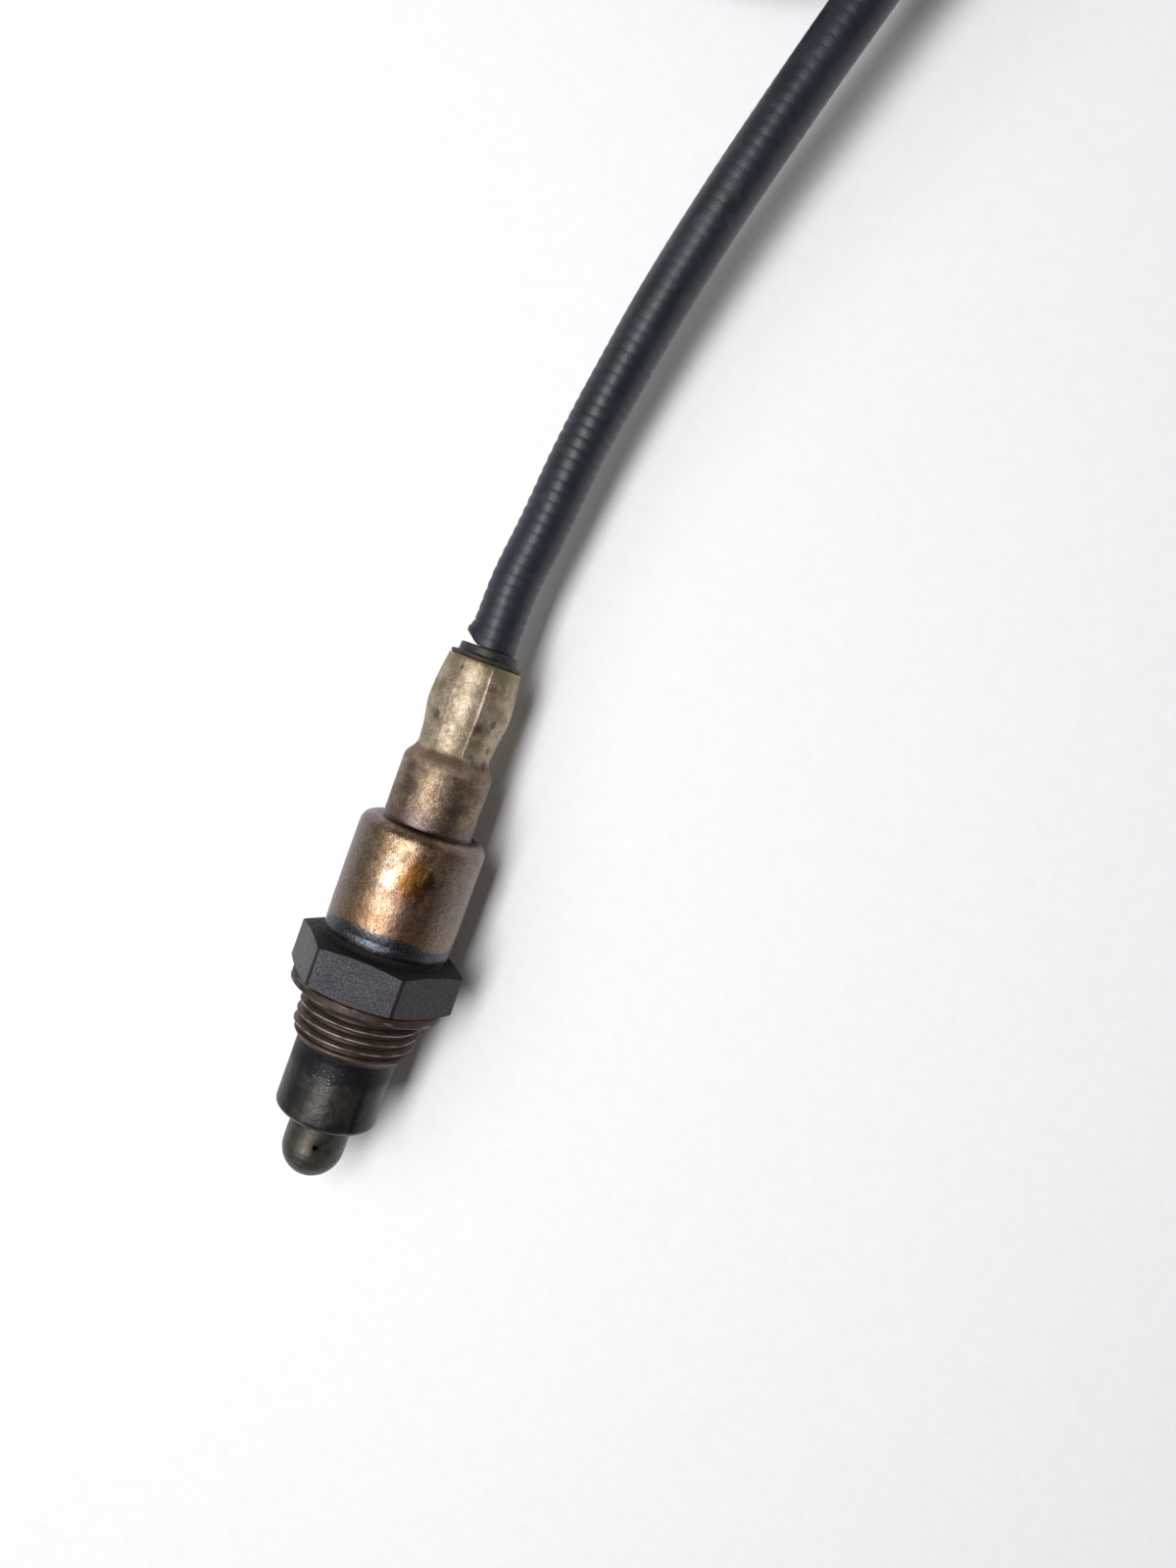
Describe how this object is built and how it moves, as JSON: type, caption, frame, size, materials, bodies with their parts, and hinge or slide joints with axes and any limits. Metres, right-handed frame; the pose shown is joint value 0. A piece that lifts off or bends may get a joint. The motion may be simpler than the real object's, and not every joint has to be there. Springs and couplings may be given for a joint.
{
  "type": "oxygen sensor",
  "caption": "Screw-in heated exhaust gas sensor: hexagon housing, double protection tube, stepped crimped shell, ribbed sleeved lead and sealed connector.",
  "frame": {"origin": "on the sensor's axis, in the plane of the hexagon's sealing face", "axes": "-Y along the sensor's axis towards its tip, +Y towards the lead; the hexagon's upper flat faces +Z; +X to the right"},
  "size_m": [0.0921, 0.2924, 0.0228],
  "materials": {
    "housing_steel": "heat-darkened, sandy and slightly rusty steel",
    "gasket_steel": "crushed, rust-brown steel ring",
    "tube_steel": "sooty brushed stainless steel",
    "shell_steel": "heat-tinted bronze and champagne stainless steel, mottled",
    "zirconia": "matt co-fired ceramic",
    "ceramic": "matt pressed ceramic",
    "talc": "compacted powder",
    "spring_steel": "plain spring steel",
    "contact_metal": "plated nickel alloy",
    "wire_white": "smooth fluoropolymer insulation",
    "wire_grey": "smooth fluoropolymer insulation",
    "wire_black": "smooth fluoropolymer insulation",
    "grommet_rubber": "matt dark fluoroelastomer",
    "sleeve": "fine-ribbed satin black heat-proof sleeve",
    "tie_nylon": "ribbed black nylon",
    "connector_plastic": "fine-grained moulded black plastic",
    "seal_rubber": "orange silicone",
    "lock_plastic": "red moulded plastic",
    "terminal_tin": "tinned copper alloy",
    "latch_plastic": "fine-grained moulded black plastic"
  },
  "bodies": {
    "sensor": {"hex_housing": "housing_steel", "outer_protection_tube": "tube_steel", "inner_protection_tube": "tube_steel", "sensing_element": "zirconia", "front_insulator": "ceramic", "talc_packing": "talc", "rear_insulator": "ceramic", "press_ring": "spring_steel", "main_shell": "shell_steel", "contact_holder_upper": "ceramic", "contact_holder_lower": "ceramic", "contact_clip": "spring_steel", "contact_spring_1": "contact_metal", "contact_spring_2": "contact_metal", "contact_spring_3": "contact_metal", "contact_spring_4": "contact_metal", "crimp_sleeve_1": "contact_metal", "crimp_sleeve_2": "contact_metal", "crimp_sleeve_3": "contact_metal", "crimp_sleeve_4": "contact_metal", "lead_wire_1": "wire_white", "lead_wire_2": "wire_white", "lead_wire_3": "wire_grey", "lead_wire_4": "wire_black", "grommet": "grommet_rubber", "lead_sleeve": "sleeve", "lead_coil": "sleeve", "coil_ties": "tie_nylon", "lead_tail": "sleeve", "connector_rear_cover": "connector_plastic", "connector_housing": "connector_plastic", "interface_seal": "seal_rubber", "wire_seal_1": "seal_rubber", "wire_seal_2": "seal_rubber", "wire_seal_3": "seal_rubber", "wire_seal_4": "seal_rubber", "terminal_1": "terminal_tin", "terminal_2": "terminal_tin", "terminal_3": "terminal_tin", "terminal_4": "terminal_tin", "connector_wire_1": "wire_white", "connector_wire_2": "wire_white", "connector_wire_3": "wire_grey", "connector_wire_4": "wire_black"},
    "gasket": {"sealing_gasket": "gasket_steel"},
    "lock": {"terminal_lock": "lock_plastic"},
    "latch": {"connector_latch": "latch_plastic"}
  },
  "joints": [
    {"name": "gasket_spin", "type": "hinge", "parent": "sensor", "child": "gasket", "pos_m": [0, -0.0007, 0], "axis": [0, 1, 0], "continuous": true},
    {"name": "lock_slide", "type": "slide", "parent": "sensor", "child": "lock", "axis": [0, 0, 1], "range_m": [0, 0.0015]},
    {"name": "latch_press", "type": "hinge", "parent": "sensor", "child": "latch", "pos_m": [0.0375, 0.249, 0.0062], "axis": [1, 0, 0], "range_deg": [0, 6], "stiffness_Nm_per_rad": 0.2}
  ]
}
